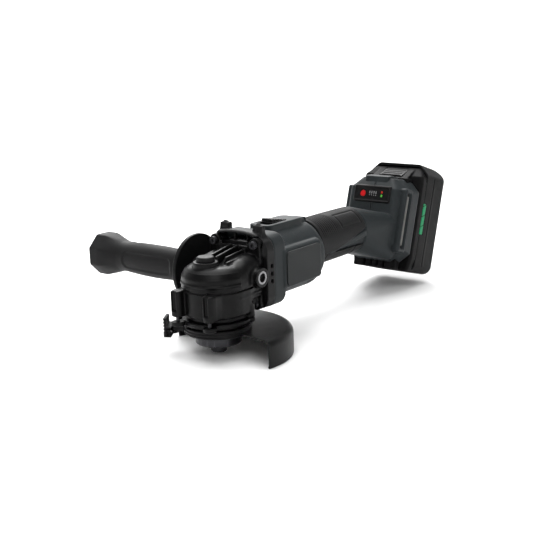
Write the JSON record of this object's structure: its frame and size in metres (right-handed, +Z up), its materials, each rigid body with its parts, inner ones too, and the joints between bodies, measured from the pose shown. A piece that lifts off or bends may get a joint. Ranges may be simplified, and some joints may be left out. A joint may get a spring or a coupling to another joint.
{
  "type": "cordless angle grinder",
  "caption": "Cordless angle grinder with bevel gear head, turning wheel guard, screw-in side handle, slide switch, spindle lock and a slide-on battery.",
  "frame": {"origin": "on the spindle axis, in the outer face of the flange nut, where the free thread starts", "axes": "+X from the gear head back to the battery, +Y to the fitted side handle, +Z up along the spindle into the gear head"},
  "size_m": [0.3956, 0.2345, 0.1316],
  "materials": {
    "gear_case": "satin black paint over die-cast metal",
    "screw": "zinc plated steel",
    "seal": "matt rubber",
    "bearing": "ground steel",
    "bronze": "sintered bronze",
    "insert": "turned steel",
    "spindle": "turned steel",
    "gear": "hardened steel",
    "flange": "blackened steel",
    "lamination": "electrical steel sheets",
    "fan": "glass filled nylon",
    "copper": "enamelled copper wire",
    "board": "coated circuit board",
    "black_plastic": "fine grained nylon",
    "spring": "spring wire",
    "slate_plastic": "fine grained nylon",
    "badge": "satin label plate",
    "link": "natural acetal",
    "rubber": "soft overmould",
    "red_button": "smooth",
    "light": "translucent diffuser",
    "contact": "tinned copper alloy",
    "pack_plastic": "fine grained plastic",
    "cell": "shrink sleeve on a steel can",
    "green_stripe": "smooth",
    "handle_plastic": "fine grained nylon with a soft side panel",
    "guard_sheet": "black powder coat on pressed steel"
  },
  "bodies": {
    "tool": {"gear_case": "gear_case", "gear_case_screws": "screw", "bearing_cover": "gear_case", "bearing_cover_screws": "screw", "dust_seal": "seal", "spindle_bearing": "bearing", "spindle_bush": "bronze", "handle_inserts": "insert", "pinion_bearing": "bearing", "rear_bearing": "bearing", "stator": "lamination", "windings": "copper", "sensor_board": "board", "air_deflector": "black_plastic", "motor_housing": "slate_plastic", "side_plates": "badge", "switch_block": "black_plastic", "left_shell": "slate_plastic", "right_shell": "slate_plastic", "grip_rubber_left": "rubber", "grip_rubber_right": "rubber", "shell_screws": "screw", "control_panel": "black_plastic", "level_lights": "light", "slot_frames": "black_plastic", "slot_inserts": "light", "controller_board": "board", "terminal_block": "black_plastic", "terminal_blades": "contact"},
    "spindle": {"spindle": "spindle", "crown_gear": "gear", "inner_flange": "flange"},
    "nut": {"flange_nut": "flange"},
    "rotor": {"pinion": "gear", "rotor_shaft": "spindle", "rotor": "lamination", "cooling_fan": "fan"},
    "spindle_lock": {"lock_button": "black_plastic", "lock_pin": "spindle", "lock_spring": "spring"},
    "switch": {"switch_slider": "black_plastic", "switch_link": "link"},
    "charge_button": {"level_button": "red_button"},
    "battery": {"pack_front_case": "pack_plastic", "pack_rear_case": "pack_plastic", "battery_cells": "cell", "pack_board": "board", "level_stripe": "green_stripe"},
    "battery_release": {"release_button": "pack_plastic", "latch_tongue": "pack_plastic"},
    "handle": {"side_handle": "handle_plastic", "handle_stud": "spindle", "hand_guard": "black_plastic"},
    "guard": {"guard_shell": "guard_sheet", "guard_band": "guard_sheet", "clamp_pin": "spindle"},
    "guard_lever": {"clamp_lever": "guard_sheet"}
  },
  "joints": [
    {"name": "spindle_spin", "type": "hinge", "parent": "tool", "child": "spindle", "pos_m": [0, 0, 0.03], "axis": [0, 0, 1], "continuous": true},
    {"name": "rotor_spin", "type": "hinge", "parent": "tool", "child": "rotor", "pos_m": [0.06, 0, 0.059], "axis": [1, 0, 0], "continuous": true},
    {"name": "nut_turn", "type": "hinge", "parent": "spindle", "child": "nut", "pos_m": [0, 0, 0.004], "axis": [0, 0, 1], "range_deg": [0, 1440]},
    {"name": "lock_press", "type": "slide", "parent": "tool", "child": "spindle_lock", "axis": [0, 0, -1], "range_m": [0, 0.0035], "stiffness_N_per_m": 1500, "springref_m": -0.002, "deforming": ["lock_spring"]},
    {"name": "switch_slide", "type": "slide", "parent": "tool", "child": "switch", "axis": [-1, 0, 0], "range_m": [0, 0.006]},
    {"name": "charge_press", "type": "slide", "parent": "tool", "child": "charge_button", "axis": [0.9563, 0, -0.2924], "range_m": [0, 0.0008], "stiffness_N_per_m": 1500, "springref_m": -0.0005},
    {"name": "battery_slide", "type": "slide", "parent": "tool", "child": "battery", "axis": [0.2924, 0, 0.9563], "range_m": [0, 0.115]},
    {"name": "release_press", "type": "slide", "parent": "battery", "child": "battery_release", "axis": [0.9563, 0, -0.2924], "range_m": [0, 0.004], "stiffness_N_per_m": 1500, "springref_m": -0.002},
    {"name": "handle_turn", "type": "hinge", "parent": "tool", "child": "handle", "pos_m": [0.021, 0.06, 0.059], "axis": [0, -1, 0], "range_deg": [0, 1440]},
    {"name": "guard_turn", "type": "hinge", "parent": "tool", "child": "guard", "pos_m": [0, 0, 0.015], "axis": [0, 0, 1], "range_deg": [-60, 120]},
    {"name": "lever_open", "type": "hinge", "parent": "guard", "child": "guard_lever", "pos_m": [-0.02122, 0.03396, 0.014], "axis": [0, 0, -1], "range_deg": [0, 100]}
  ],
  "couplings": [
    {"joint": "rotor_spin", "follows": "spindle_spin", "ratio": 3}
  ]
}
